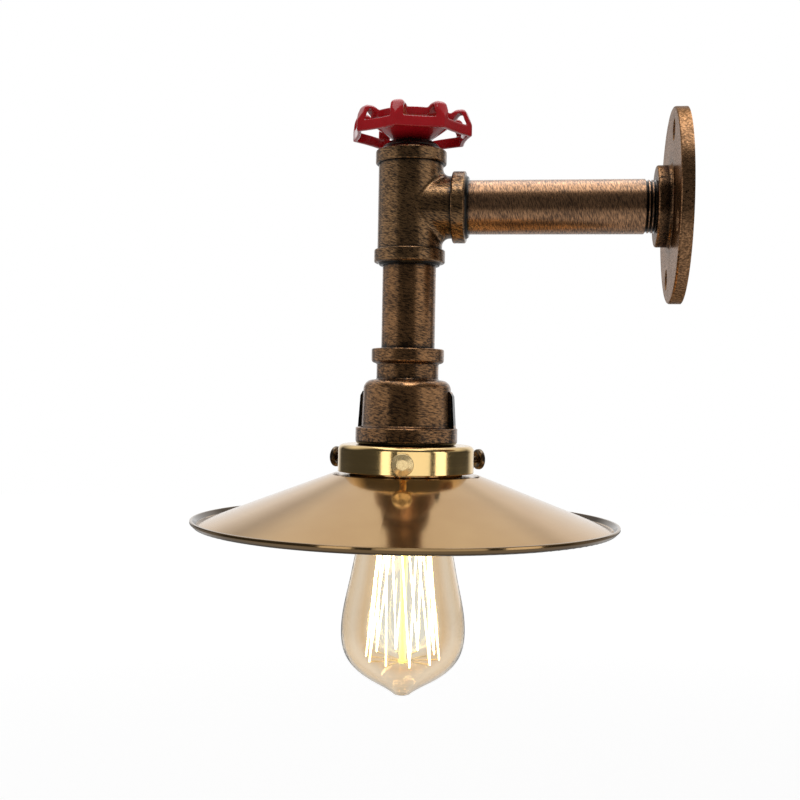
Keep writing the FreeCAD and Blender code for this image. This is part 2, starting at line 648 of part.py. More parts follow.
def wheel_nut():
    body = hexagon(NUT_FLATS, NUT_BASE, NUT_BASE + NUT_HEIGHT)
    return at_lamp(body.cut(rod(SPINDLE_DIAMETER, NUT_BASE - OVERCUT, SPINDLE_TOP + OVERCUT)))


# ---- drop pipe and reducer ----------------------------------------------------------------------
def drop_pipe():
    body = tube(THREAD_OD, PIPE_BORE, REDUCER_TOP - THREAD_GRIP, -TEE_END + THREAD_GRIP)
    body = body.fuse(tube(PIPE_OD, PIPE_BORE, REDUCER_TOP, -TEE_END)).removeSplitter()
    return at_lamp(body)


def reducer():
    """Reducing socket with a web for the hollow stud and two wing ribs."""
    bore = THREAD_BORE / 2
    stud_hole = STUD_DIAMETER / 2 + STUD_CLEARANCE
    cavity = REDUCER_CAVITY_OD / 2
    fall = REDUCER_LEDGE_FALL
    body = turned([
        (bore, REDUCER_TOP),
        (REDUCER_TOP_BAND_OD / 2, REDUCER_TOP, CAST_ROUND),
        (REDUCER_TOP_BAND_OD / 2, REDUCER_NECK_TOP, REDUCER_BAND_ROUND),
        (REDUCER_NECK_OD / 2, REDUCER_NECK_TOP - fall, CAST_ROUND),
        (REDUCER_NECK_OD / 2, REDUCER_NECK_LOW, CAST_ROUND),
        (REDUCER_BODY_TOP_OD / 2, REDUCER_NECK_LOW - fall, REDUCER_SHOULDER_ROUND),
        (REDUCER_BODY_LOW_OD / 2, REDUCER_BAND_TOP, CAST_ROUND),
        (REDUCER_LOW_BAND_OD / 2, REDUCER_BAND_TOP - fall, CAST_ROUND),
        (REDUCER_LOW_BAND_OD / 2, REDUCER_LOW, REDUCER_MOUTH_ROUND),
        (cavity, REDUCER_LOW),
        (cavity, REDUCER_WEB_LOW),
        (stud_hole, REDUCER_WEB_LOW),
        (stud_hole, REDUCER_NECK_LOW),
        (bore, REDUCER_NECK_LOW),
    ])
    ribs = spaced(reducer_rib(), REDUCER_RIB_COUNT, REDUCER_RIB_START)
    return at_lamp(body.fuse(ribs).removeSplitter())


def reducer_rib():
    """One wing rib, standing in the XZ plane and sunk into the reducer's wall."""
    root = REDUCER_CAVITY_OD / 2 + OVERCUT
    low = REDUCER_BAND_TOP - OVERCUT
    crest = REDUCER_RIB_TOP_OD / 2
    rib = Part.makePolygon([
        vec(root, 0, REDUCER_BODY_TOP + REDUCER_RIB_RISE),
        vec(crest - REDUCER_RIB_CHAMFER, 0, REDUCER_BODY_TOP + REDUCER_RIB_CREST),
        vec(crest, 0, REDUCER_BODY_TOP - REDUCER_RIB_SHOULDER),
        vec(REDUCER_RIB_LOW_OD / 2, 0, low),
        vec(root, 0, low),
        vec(root, 0, REDUCER_BODY_TOP + REDUCER_RIB_RISE),
    ])
    rib = Part.Face(rib).extrude(vec(0, REDUCER_RIB_THICKNESS, 0))
    rib.translate(vec(0, -REDUCER_RIB_THICKNESS / 2, 0))
    return rib


# ---- lampholder ---------------------------------------------------------------------------------
def hollow_stud():
    high = REDUCER_NECK_LOW + STUD_NUT_HEIGHT + STUD_RISE
    return at_lamp(tube(STUD_DIAMETER, STUD_BORE, STUD_LOW, high))


def stud_nut():
    high = REDUCER_NECK_LOW + STUD_NUT_HEIGHT
    hole = rod(STUD_DIAMETER, REDUCER_NECK_LOW - OVERCUT, high + OVERCUT)
    return at_lamp(hexagon(STUD_NUT_FLATS, REDUCER_NECK_LOW, high).cut(hole))


def holder_cap():
    outer = HOLDER_OD / 2
    inner = outer - HOLDER_WALL
    body = turned([
        (STUD_DIAMETER / 2, HOLDER_TOP),
        (outer, HOLDER_TOP, HOLDER_CAP_ROUND),
        (outer, HOLDER_SPLIT),
        (inner, HOLDER_SPLIT),
        (inner, STUD_LOW, HOLDER_CORNER_ROUND),
        (STUD_DIAMETER / 2, STUD_LOW),
    ])
    return at_lamp(body)


def holder_body():
    outer = HOLDER_OD / 2
    inner = outer - HOLDER_WALL
    body = turned([
        (inner, HOLDER_SPLIT),
        (outer, HOLDER_SPLIT),
        (outer, HOLDER_LOW, EDGE_ROUND),
        (inner, HOLDER_LOW),
    ])
    return at_lamp(body)


def holder_base():
    """Porcelain disc that fills the cap's mouth and carries the terminals and the contact."""
    body = rod(HOLDER_OD - 2 * HOLDER_WALL - 2 * HOLDER_PLAY, HOLDER_SPLIT, BASE_TOP)
    return at_lamp(body)


def holder_terminals():
    """Two clamp blocks on the porcelain, each with a hole for its wire."""
    half = TERMINAL_SIZE / 2
    blocks = []
    for side in (-1, 1):
        middle = side * TERMINAL_OFFSET
        block = Part.makeBox(
            TERMINAL_SIZE, TERMINAL_SIZE, TERMINAL_SIZE, vec(middle - half, -half, BASE_TOP),
        )
        hole = rod(
            WIRE_DIAMETER + 2 * TERMINAL_HOLE_PLAY,
            TERMINAL_TOP - TERMINAL_HOLE_DEPTH, TERMINAL_TOP + OVERCUT,
        )
        hole.translate(vec(middle, 0, 0))
        blocks.append(block.cut(hole))
    return at_lamp(Part.makeCompound(blocks))


def holder_contact():
    """Spring tongue under the porcelain that meets the bulb's contact."""
    body = Part.makeBox(
        CONTACT_LENGTH, CONTACT_WIDTH, CONTACT_THICKNESS,
        vec(CONTACT_OFFSET - CONTACT_LENGTH / 2, -CONTACT_WIDTH / 2, CONTACT_TOP - CONTACT_THICKNESS),
    )
    return at_lamp(body)


def edison_wave(crest, depth, low, turns):
    """Points of a rounded thread seen as rings, from the bottom up."""
    pitch = BULB_THREAD_PITCH
    bend = EDISON_BEND * pitch
    points = []
    for i in range(turns):
        base = low + i * pitch
        points.append((crest - depth, base, bend))
        points.append((crest, base + EDISON_CREST_START * pitch, bend))
        points.append((crest, base + (1 - EDISON_CREST_START) * pitch, bend))
    points.append((crest - depth, low + turns * pitch, bend))
    return points


def holder_screw_shell():
    """Brass screw shell, whose crests stay clear of the bulb's cap."""
    low = HOLDER_LOW + SHELL_FOOT
    high = CONTACT_TOP - CONTACT_THICKNESS - SHELL_HEAD_GAP
    root = SHELL_CREST + BULB_THREAD_DEPTH
    collar = SHELL_CREST + SHELL_COLLAR_PLAY
    outer = SHELL_OD / 2
    inside = edison_wave(root, BULB_THREAD_DEPTH, low + SHELL_COLLAR, SHELL_TURNS)
    return at_lamp(turned([(collar, low)] + inside + [(collar, high), (outer, high), (outer, low)]))


def shade_ring():
    """Threaded ring on the holder that clamps the gallery's plate to the reducer."""
    high = GALLERY_TOP - GALLERY_WALL
    body = turned([
        (HOLDER_OD / 2 + THREAD_CLEARANCE, high - SHADE_RING_HEIGHT),
        (SHADE_RING_OD / 2, high - SHADE_RING_HEIGHT, EDGE_ROUND),
        (SHADE_RING_OD / 2, high, EDGE_ROUND),
        (HOLDER_OD / 2 + THREAD_CLEARANCE, high),
    ])
    return at_lamp(body)


# ---- gallery, screws and shade ------------------------------------------------------------------
def shade_gallery():
    """Spun ring with a plate on top and an inside boss for each thumbscrew."""
    outer = GALLERY_OD / 2
    inner = outer - GALLERY_WALL
    hole = HOLDER_OD / 2 + HOLDER_PLAY
    body = turned([
        (hole, GALLERY_TOP),
        (outer, GALLERY_TOP, GALLERY_ROUND),
        (outer, GALLERY_LOW, GALLERY_LIP_ROUND),
        (inner, GALLERY_LOW, GALLERY_LIP_ROUND),
        (inner, GALLERY_TOP - GALLERY_WALL, GALLERY_ROUND - GALLERY_WALL),
        (hole, GALLERY_TOP - GALLERY_WALL),
    ])
    boss = Part.makeCylinder(
        GALLERY_BOSS_OD / 2, GALLERY_BOSS_LENGTH + GALLERY_WALL / 2,
        vec(inner - GALLERY_BOSS_LENGTH, 0, SCREW_LEVEL), vec(1, 0, 0),
    )
    drill = Part.makeCylinder(
        SCREW_DIAMETER / 2 + SCREW_PLAY, outer,
        vec(inner - GALLERY_BOSS_LENGTH - OVERCUT, 0, SCREW_LEVEL), vec(1, 0, 0),
    )
    body = body.fuse(spaced(boss, SCREW_COUNT, SCREW_START)).removeSplitter()
    return at_lamp(body.cut(spaced(drill, SCREW_COUNT, SCREW_START)))


def thumbscrew(index):
    """Screw whose tip meets the shade's neck and whose domed head stands outside the gallery."""
    tip = SHADE_NECK_OD / 2 + SCREW_TIP_GAP
    head = SCREW_HEAD_RADIUS
    half = SCREW_HEAD_OD / 2
    body = turned([
        (0, tip),
        (SCREW_DIAMETER / 2, tip, SCREW_TIP_ROUND),
        (SCREW_DIAMETER / 2, head + SCREW_NECK_LENGTH),
        (half - SCREW_HEAD_EDGE, head, EDGE_ROUND),
        (half - SCREW_HEAD_EDGE / 6, head + SCREW_HEAD_STEP, EDGE_ROUND / 2),
        (half, head + SCREW_HEAD_BELLY, CAST_ROUND),
        (SCREW_HEAD_FLAT, head + SCREW_HEAD_LENGTH, 2 * CAST_ROUND),
        (0, head + SCREW_HEAD_LENGTH),
    ])
    body.rotate(vec(0, 0, 0), vec(0, 1, 0), 90)
    body.translate(vec(0, 0, SCREW_LEVEL))
    body.rotate(vec(0, 0, 0), vec(0, 0, 1), SCREW_START + 360.0 * index / SCREW_COUNT)
    return at_lamp(body)


def shade():
    """Spun cone with a neck, a flat shoulder and an upturned, beaded lip."""
    neck = SHADE_NECK_OD / 2
    sheet = SHADE_SHEET
    outer = SHADE_OD / 2
    neck_top = SHADE_TOP + SHADE_NECK_HEIGHT
    slope = math.radians(SHADE_SLOPE)
    lip_root = outer - SHADE_LIP_WIDTH
    root_level = SHADE_TOP - (lip_root - SHADE_FLAT_RADIUS) * math.tan(slope)
    lip_low = root_level - sheet / math.cos(slope) - sheet * math.tan(slope)
    lip_top = root_level + SHADE_LIP_HEIGHT
    body = turned([
        (neck - sheet, neck_top),
        (neck, neck_top),
        (neck, SHADE_TOP, SHADE_NECK_ROUND),
        (SHADE_FLAT_RADIUS, SHADE_TOP, SHADE_FLAT_ROUND),
        (lip_root, root_level, SHADE_LIP_ROUND),
        (outer - SHADE_BEAD, lip_top, SHADE_BEAD_ROUND),
        (outer, lip_top, SHADE_BEAD_ROUND),
        (outer, lip_top - SHADE_BEAD, SHADE_BEAD_ROUND),
        (lip_root + sheet, lip_low, SHADE_LIP_ROUND + sheet),
        (SHADE_FLAT_RADIUS - sheet * math.tan(slope / 2), SHADE_TOP - sheet, SHADE_FLAT_ROUND),
        (neck - sheet, SHADE_TOP - sheet, SHADE_NECK_ROUND),
    ])
    return at_lamp(body)


# ---- bulb ---------------------------------------------------------------------------------------
def glass_outline(inset):
    """Side of the pear-shaped envelope from its neck to the foot of its tip, set in by the wall."""
    top = BULB_GLASS_TOP
    tip = BULB_TIP + inset
    stations = (
        (BULB_NECK_OD, top),
        (BULB_NECK_OD, top - BULB_NECK_LENGTH),
        (BULB_WAIST_OD, top - BULB_WAIST_DROP),
        (BULB_SHOULDER_OD, top - BULB_SHOULDER_DROP),
        (BULB_OD, top - BULB_BELLY_DROP),
        (BULB_CHEEK_OD, tip + BULB_CHEEK_RISE),
        (BULB_DOME_OD, tip + BULB_DOME_RISE),
        (BULB_FOOT_OD, tip + BULB_FOOT_RISE),
        (BULB_NIPPLE_OD, tip + BULB_NIPPLE_RISE),
    )
    return [vec(width / 2 - inset, 0, level) for width, level in stations]


def glass_solid(inset):
    """Solid inside the envelope's outer or inner surface."""
    points = glass_outline(inset)
    curve = Part.BSplineCurve()
    curve.interpolate(points)
    top = vec(0, 0, points[0].z)
    tip = vec(0, 0, BULB_TIP + inset)
    shoulder = vec(points[-1].x - GLASS_TIP_INSET, 0, BULB_TIP + inset + GLASS_TIP_STEP)
    edges = [
        Part.LineSegment(top, points[0]).toShape(),
        curve.toShape(),
        Part.LineSegment(points[-1], shoulder).toShape(),
        Part.LineSegment(shoulder, tip).toShape(),
        Part.LineSegment(tip, top).toShape(),
    ]
    return Part.Face(Part.Wire(edges)).revolve(vec(0, 0, 0), vec(0, 0, 1), 360)


def bulb_glass():
    return at_lamp(glass_solid(0.0).cut(glass_solid(BULB_GLASS_WALL)))


def bulb_cap():
    """Thin screw cap that holds the glass, drawn in at the top round its insulator."""
    low = BULB_GLASS_TOP
    outer = BULB_CAP_OD / 2
    root = outer - BULB_THREAD_DEPTH
    inner = root - BULB_CAP_WALL
    thread_low = low + BULB_CAP_SKIRT
    thread_top = thread_low + BULB_CAP_TURNS * BULB_THREAD_PITCH
    mouth = BULB_CAP_MOUTH_OD / 2
    mouth_top = BULB_TOP - BULB_CAP_MOUTH_DROP
    wave = edison_wave(outer, BULB_THREAD_DEPTH, thread_low, BULB_CAP_TURNS)
    top = [
        (root - BULB_CAP_WALL, thread_top + BULB_CAP_SHOULDER),
        (mouth + BULB_CAP_MOUTH_RIM, mouth_top),
        (mouth, mouth_top),
        (mouth, mouth_top - BULB_CAP_MOUTH_RIM),
        (inner, thread_top),
    ]
    return at_lamp(turned([(inner, low), (outer, low)] + wave + top))


def bulb_cap_insulator():
    """Glass bead that fills the cap's mouth round the contact's pin."""
    low = BULB_TOP - BULB_BEAD_LENGTH
    high = BULB_TOP - BULB_CONTACT_THICKNESS
    pin = BULB_PIN_DIAMETER / 2
    mouth = BULB_CAP_MOUTH_OD / 2
    body = turned([
        (pin, low),
        (mouth, low),
        (mouth, BULB_TOP - BULB_BEAD_RISE),
        (BULB_BEAD_OD / 2, high),
        (pin, high),
    ])
    return at_lamp(body)


def bulb_contact():
    """Contact button with the pin that holds it in the bead."""
    low = BULB_TOP - BULB_BEAD_LENGTH
    seat = BULB_TOP - BULB_CONTACT_THICKNESS
    body = turned([
        (0, low),
        (BULB_PIN_DIAMETER / 2, low),
        (BULB_PIN_DIAMETER / 2, seat),
        (BULB_CONTACT_OD / 2, seat),
        (BULB_CONTACT_FACE_OD / 2, BULB_TOP, EDGE_ROUND),
        (0, BULB_TOP),
    ])
    return at_lamp(body)


def bulb_stem():
    """Glass mount: flared tube in the neck that narrows to a central rod with a foot."""
    flare = BULB_NECK_OD / 2 - BULB_GLASS_WALL - STEM_GLASS_GAP
    top = BULB_GLASS_TOP - STEM_TOP_DROP
    pinch = BULB_GLASS_TOP - STEM_PINCH_DROP
    rod_radius = ROD_DIAMETER / 2
    foot = rod_radius + ROD_FOOT_WIDTH
    rod_low = BULB_TIP + ROD_LOW_RISE
    body = turned([
        (0, top),
        (flare, top),
        (STEM_DIAMETER / 2 + STEM_WAIST_FLARE, BULB_GLASS_TOP - STEM_WAIST_DROP, STEM_ROUND),
        (STEM_DIAMETER / 2, pinch, STEM_ROUND),
        (rod_radius, pinch - STEM_PINCH_LENGTH, STEM_ROUND),
        (rod_radius, rod_low + ROD_FOOT_HEIGHT),
        (foot, rod_low + ROD_FOOT_HEIGHT / 2, EDGE_ROUND),
        (foot, rod_low, EDGE_ROUND),
        (0, rod_low),
    ])
    return at_lamp(body)


def strand_point(index, level):
    """Place of one of the filament's ends: 0 is the upper ring of hooks, 1 the lower."""
    count = 2 * FILAMENT_STRANDS
    angle = 2 * math.pi * index / count
    radius = FILAMENT_LOW_RADIUS if level else FILAMENT_TOP_RADIUS
    height = BULB_TIP + FILAMENT_LOW_RISE if level else BULB_GLASS_TOP - FILAMENT_TOP_DROP
    return vec(radius * math.cos(angle), radius * math.sin(angle), height)


def wire_between(points, diameter):
    """Round wire along straight runs, with a ball at each bend."""
    pieces = []
    for start, end in zip(points, points[1:]):
        along = end - start
        pieces.append(Part.makeCylinder(diameter / 2, along.Length, start, along))
    for bend in points[1:-1]:
        pieces.append(Part.makeSphere(diameter / 2, bend))
    return pieces[0].fuse(pieces[1:])


def bulb_filament():
    """Squirrel-cage filament: one wire that zigzags between the upper and lower hooks."""
    points = []
    for i in range(FILAMENT_STRANDS):
        points.append(strand_point(2 * i, 0))
        points.append(strand_point(2 * i + 1, 1))
    return at_lamp(wire_between(points, FILAMENT_WIRE))


def bulb_supports():
    """Hook wires from the glass rod out to each end of the filament's runs."""
    upper = BULB_GLASS_TOP - SUPPORT_TOP_DROP
    lower = BULB_TIP + SUPPORT_LOW_RISE
    wires = []
    for i in range(FILAMENT_STRANDS):
        for index, level, root in ((2 * i, 0, upper), (2 * i + 1, 1, lower)):
            tip = strand_point(index, level)
            start = vec(tip.x, tip.y, 0).normalize() * SUPPORT_ROOT_RADIUS + vec(0, 0, root)
            along = tip - start
            end = tip - along.normalize() * SUPPORT_GAP
            wires.append(wire_between([start, end], SUPPORT_WIRE))
    return at_lamp(wires[0].fuse(wires[1:])).cut(bulb_stem())


# ---- wiring -------------------------------------------------------------------------------------
def bent_wire(start_y, x, z_arm, y_drop, z_end):
    """Insulated wire: along the arm, one bend in the tee, then down or up the lamp's axis."""
    turn = WIRE_BEND
    away = turn * (1 - math.sin(math.pi / 4))
    sign = -1 if z_end < z_arm else 1
    corner_start = vec(x, y_drop + turn, z_arm)
    corner_end = vec(x, y_drop, z_arm + sign * turn)
    middle = vec(x, y_drop + away, z_arm + sign * away)
    path = Part.Wire([
        Part.LineSegment(vec(x, start_y, z_arm), corner_start).toShape(),
        Part.Arc(corner_start, middle, corner_end).toShape(),
        Part.LineSegment(corner_end, vec(x, y_drop, z_end)).toShape(),
    ])
    ring = Part.Wire(Part.makeCircle(WIRE_DIAMETER / 2, vec(x, start_y, z_arm), vec(0, -1, 0)))
    return path.makePipeShell([ring], True, False)


def lamp_wire(side):
    """One of the two wires from the connector block to a terminal of the lampholder."""
    low = STUD_LOW - WIRE_SPREAD_DROP
    middle = side * TERMINAL_OFFSET
    body = bent_wire(BLOCK_END - WIRE_GAP, side * WIRE_OFFSET, PAIR_LEVEL, -REACH, low)
    tail = wire_between([
        vec(side * WIRE_OFFSET, -REACH, STUD_LOW),
        vec(side * WIRE_OFFSET, -REACH, low),
        vec(middle, -REACH, TERMINAL_TOP + WIRE_STRIP_LENGTH),
        vec(middle, -REACH, TERMINAL_TOP - TERMINAL_HOLE_DEPTH + WIRE_GAP),
    ], WIRE_DIAMETER)
    return body.fuse(tail).removeSplitter()


def earth_wire():
    """Earth wire from the connector block to the tag under the tee's plug."""
    top = PLUG_SHANK_LOW - EARTH_TAG_THICKNESS - WIRE_GAP
    return bent_wire(BLOCK_END - WIRE_GAP, 0, EARTH_LEVEL, -REACH + EARTH_TAG_REACH, top)


def earth_tag():
    """Ring tag under the plug, with a tail that the earth wire is soldered to."""
    low = PLUG_SHANK_LOW - EARTH_TAG_THICKNESS
    ring = rod(EARTH_SCREW_HEAD, low, PLUG_SHANK_LOW)
    tail = Part.makeBox(
        EARTH_TAG_WIDTH, EARTH_TAG_REACH + EARTH_TAG_TAIL, EARTH_TAG_THICKNESS,
        vec(-EARTH_TAG_WIDTH / 2, 0, low),
    )
    hole = rod(EARTH_SCREW_DIAMETER + 2 * EARTH_TAG_PLAY, low - OVERCUT, PLUG_SHANK_LOW + OVERCUT)
    return at_lamp(ring.fuse(tail).removeSplitter().cut(hole))


def earth_screw():
    """Round-headed screw that clamps the tag to the plug."""
    tag_low = PLUG_SHANK_LOW - EARTH_TAG_THICKNESS
    end = PLUG_SHANK_LOW + EARTH_SCREW_LENGTH - EARTH_THREAD_GAP
    body = turned([
        (0, tag_low - EARTH_SCREW_HEAD_HEIGHT),
        (EARTH_SCREW_HEAD / 2, tag_low - EARTH_SCREW_HEAD_HEIGHT, EDGE_ROUND),
        (EARTH_SCREW_HEAD / 2, tag_low),
        (EARTH_SCREW_DIAMETER / 2, tag_low),
        (EARTH_SCREW_DIAMETER / 2, end),
        (0, end),
    ])
    return at_lamp(body)


def terminal_block():
    """Insulating connector block that lies in the arm beside the wall."""
    return Part.makeBox(
        BLOCK_WIDTH, BLOCK_LENGTH, BLOCK_HEIGHT, vec(-BLOCK_WIDTH / 2, BLOCK_END, BLOCK_LOW),
    )


def main():
    os.makedirs("parts", exist_ok=True)
    export("wall_flange", wall_flange())
    export("arm_pipe", arm_pipe())
    export("tee", tee())
    export("tee_plug", tee_plug())
    export("wheel_spindle", wheel_spindle())
    export("handwheel", handwheel())
    export("wheel_washer", wheel_washer())
    export("wheel_nut", wheel_nut())
    export("drop_pipe", drop_pipe())
    export("reducer", reducer())
    export("hollow_stud", hollow_stud())
    export("stud_nut", stud_nut())
    export("holder_cap", holder_cap())
    export("holder_body", holder_body())
    export("holder_base", holder_base())
    export("holder_terminals", holder_terminals())
    export("holder_contact", holder_contact())
    export("holder_screw_shell", holder_screw_shell())
    export("shade_ring", shade_ring())
    export("shade_gallery", shade_gallery())
    for index, name in enumerate(("front", "right", "left")):
        export(f"thumbscrew_{name}", thumbscrew(index))
    export("shade", shade())
    export("bulb_glass", bulb_glass())
    export("bulb_cap", bulb_cap())
    export("bulb_cap_insulator", bulb_cap_insulator())
    export("bulb_contact", bulb_contact())
    export("bulb_stem", bulb_stem())
    export("bulb_filament", bulb_filament())
    export("bulb_supports", bulb_supports())
    export("terminal_block", terminal_block())
    export("live_wire", lamp_wire(-1))
    export("neutral_wire", lamp_wire(1))
    export("earth_wire", earth_wire())
    export("earth_tag", earth_tag())
    export("earth_screw", earth_screw())


main()
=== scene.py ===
import math

import bpy
from mathutils import Matrix, Vector


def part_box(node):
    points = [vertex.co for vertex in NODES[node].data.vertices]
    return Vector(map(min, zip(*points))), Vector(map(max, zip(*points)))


# Looks of the industrial pipe wall light. Metres, in the CAD model's frame: the wall is at Y 0, the
# arm runs along -Y and the lamp's axis is vertical.

AXIS_Y = -0.1365                    # the lamp's vertical axis
TEE_LIP = 0.0013                    # height of the lip beyond each of the tee's bands
REDUCER_BAND = 0.0103               # height of the reducer's lower band
REDUCER_BODY_RADIUS = 0.0236
SHADE_LIP_RADIUS = 0.1056           # where the shade's lip turns up
SHADE_BEAD_RADIUS = 0.1076          # inner side of the lip's bead
WHEEL_VOXEL = 0.00042
PAINT_FACTOR = 0.5
PAINT_PASSES = 12

CAMERA_AT = (0.5668, -0.0652, -0.0975)
CAMERA_TURN = (-7.53, 0.14, 1.04)   # yaw, pitch and roll in degrees
CAMERA_LENS = 50.0                  # millimetres, as the sensor's width
CAMERA_SENSOR = 36.0

FLOOR_LEVEL = -0.75
FLOOR_SIZE = 12
STUDIO_EVEN = 0.42                  # even light on dull surfaces
STUDIO_FRONT = 0.06                 # dark front of the studio, as gloss mirrors it
STUDIO_WALL = 0.95                  # white wall, as gloss mirrors it
STUDIO_CEILING = 0.88               # ceiling, as gloss mirrors it
LAMP_REACH = 1.25                   # side lamps from the lamp's axis
LAMP_LEVEL = -0.05
LAMP_HEIGHT = 1.2

STROKE_LENGTH = 0.0026              # of the brush strokes on the pipes and the reducer
LIGHT_SHARE = 1.75                  # rubbed metal's brightness over the middle tone's
PATCH_SHARE = 0.22                  # cloudy patches' part in the bronze's tone
BLACK = (0.006, 0.005, 0.004, 1.0)
WHITE = (1.0, 1.0, 1.0, 1.0)
GOLD = (0.83, 0.58, 0.25)

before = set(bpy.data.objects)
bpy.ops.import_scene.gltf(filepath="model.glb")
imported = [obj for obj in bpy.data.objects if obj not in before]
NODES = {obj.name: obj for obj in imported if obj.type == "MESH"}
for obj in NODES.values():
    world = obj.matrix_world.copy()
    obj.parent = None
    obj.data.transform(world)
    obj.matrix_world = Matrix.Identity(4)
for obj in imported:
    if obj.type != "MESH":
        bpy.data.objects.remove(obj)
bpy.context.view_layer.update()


# ---- camera -------------------------------------------------------------------------------------
def make_camera():
    """Camera at the photograph's angle, beside the arm and level with the tee's lower end."""
    yaw, pitch, roll = (math.radians(a) for a in CAMERA_TURN)
    ahead = Vector((-math.cos(yaw) * math.cos(pitch), math.sin(yaw) * math.cos(pitch), -math.sin(pitch)))
    level = ahead.cross(Vector((0, 0, 1))).normalized()
    upright = level.cross(ahead)
    right = level * math.cos(roll) + upright * math.sin(roll)
    up = upright * math.cos(roll) - level * math.sin(roll)
    data = bpy.data.cameras.new("photo_camera")
    data.lens = CAMERA_LENS
    data.sensor_width = CAMERA_SENSOR
    data.clip_start = 0.01
    camera = bpy.data.objects.new("photo_camera", data)
    bpy.context.scene.collection.objects.link(camera)
    turn = Matrix((right, up, -ahead)).transposed().to_4x4()
    camera.matrix_world = Matrix.Translation(CAMERA_AT) @ turn
    bpy.context.scene.camera = camera


# ---- shader helpers -----------------------------------------------------------------------------
def feed(tree, node, inputs):
    """Links or sets a shader node's inputs."""
    for socket, value in inputs.items():
        if isinstance(value, bpy.types.NodeSocket):
            tree.links.new(value, node.inputs[socket])
        else:
            node.inputs[socket].default_value = value


def add(tree, kind, inputs=None, output=0, **settings):
    """Adds a shader node, feeds its inputs, and returns one of its outputs."""
    made = tree.nodes.new(kind)
    for name, value in settings.items():
        setattr(made, name, value)
    feed(tree, made, inputs or {})
    return made.outputs[output]


def new_material(name):
    """Empty material with a Principled shader, which is returned with the material and its tree."""
    material = bpy.data.materials.new(name)
    material.use_nodes = True
    tree = material.node_tree
    return material, tree, tree.nodes["Principled BSDF"]


def place(tree, size=(1, 1, 1), slant=(0, 0, 0), centre=(0, 0, 0)):
    """Object coordinates turned by slant degrees and divided by a feature size in metres."""
    return add(tree, "ShaderNodeMapping", {
        "Vector": add(tree, "ShaderNodeTexCoord", output=3),
        "Location": centre,
        "Rotation": [math.radians(a) for a in slant],
        "Scale": size,
    }, vector_type="TEXTURE")


def coordinate(tree, vector, axis):
    """One coordinate of a vector: 0 for X, 1 for Y and 2 for Z."""
    return add(tree, "ShaderNodeSeparateXYZ", {0: vector}, output=axis)


def length(tree, vector):
    return add(tree, "ShaderNodeVectorMath", {0: vector}, output=1, operation="LENGTH")


def noise(tree, vector, detail=3.0, roughness=0.6):
    return add(tree, "ShaderNodeTexNoise", {
        "Vector": vector, "Scale": 1.0, "Detail": detail, "Roughness": roughness, "Distortion": 0.0,
    })


def clouds(tree, size, detail=2.0, roughness=0.6):
    """Noise with features of one size in metres in every direction."""
    return noise(tree, place(tree, (size, size, size)), detail, roughness)


def maths(tree, operation, first, second):
    return add(tree, "ShaderNodeMath", {0: first, 1: second}, operation=operation)


def times(tree, first, second):
    return maths(tree, "MULTIPLY", first, second)


def larger(tree, first, second):
    return maths(tree, "MAXIMUM", first, second)


def remap(tree, value, low, high, to_low=0.0, to_high=1.0):
    return add(tree, "ShaderNodeMapRange", {
        "Value": value, "From Min": low, "From Max": high, "To Min": to_low, "To Max": to_high,
    })


def mix(tree, share, first, second):
    return add(tree, "ShaderNodeMix", {0: share, 6: first, 7: second}, output=2, data_type="RGBA")


def mix_value(tree, share, first, second):
    return add(tree, "ShaderNodeMix", {0: share, 2: first, 3: second}, data_type="FLOAT")


def colour(red, green, blue):
    return (red, green, blue, 1.0)


def ramp(tree, value, low, middle, high):
    """Colour ramp through three stops, each a position and a colour."""
    made = add(tree, "ShaderNodeValToRGB", {"Fac": value})
    stops = made.node.color_ramp.elements
    stops[0].position, stops[0].color = low
    stops[1].position, stops[1].color = high
    stops.new(middle[0]).color = middle[1]
    return made


def bump(tree, height, depth, strength):
    return add(tree, "ShaderNodeBump", {"Height": height, "Distance": depth, "Strength": strength})


def corner_shade(tree, reach, depth=0.35, start=0.82):
    """Mask for painted shade in corners: 0 in the open and 1 deep in a corner, within reach metres."""
    open_share = add(tree, "ShaderNodeAmbientOcclusion", {"Distance": reach}, output=1, samples=8)
    return remap(tree, open_share, start, depth)


def worn_edge(tree, radius):
    """1 along edges and 0 on even surfaces."""
    rounded = add(tree, "ShaderNodeBevel", {"Radius": radius}, samples=6)
    even = add(tree, "ShaderNodeNewGeometry", output=1)
    along = add(tree, "ShaderNodeVectorMath", {0: rounded, 1: even}, output=1, operation="DOT_PRODUCT")
    return remap(tree, along, 0.97, 0.80)


def from_axis(tree):
    """Vector from the lamp's vertical axis, without its height."""
    return add(tree, "ShaderNodeVectorMath", {
        0: place(tree, centre=(0, AXIS_Y, 0)), 1: (1, 1, 0),
    }, operation="MULTIPLY")


def beyond(tree, value, limit, fade=0.0003):
    """1 where a value is past a limit, in metres."""
    return remap(tree, value, limit - fade, limit + fade)


# ---- where a finish turns dark ------------------------------------------------------------------
def tee_lips(tree):
    """The bevelled lips that stand out of the tee's three bands, painted black as painted shade on their
    bevels.
    """
    low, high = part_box("tee")
    spot = place(tree)
    height = coordinate(tree, spot, 2)
    upper = beyond(tree, height, high[2] - TEE_LIP)
    lower = beyond(tree, times(tree, height, -1.0), -low[2] - TEE_LIP)
    branch = beyond(tree, coordinate(tree, spot, 1), high[1] - TEE_LIP)
    return larger(tree, larger(tree, upper, lower), branch)


def reducer_ribs(tree):
    """The two wing ribs, which stand out of the reducer's body above its lower band, painted black as painted
    shade.
    """
    radius = length(tree, from_axis(tree))
    above_band = beyond(tree, coordinate(tree, place(tree), 2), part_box("reducer")[0][2] + REDUCER_BAND)
    return times(tree, beyond(tree, radius, REDUCER_BODY_RADIUS), above_band)


def flange_holes(tree):
    """Painted shade in the insides of the flange's screw holes and at the foot of its hub."""
    return corner_shade(tree, 0.015, 0.60, 0.88)


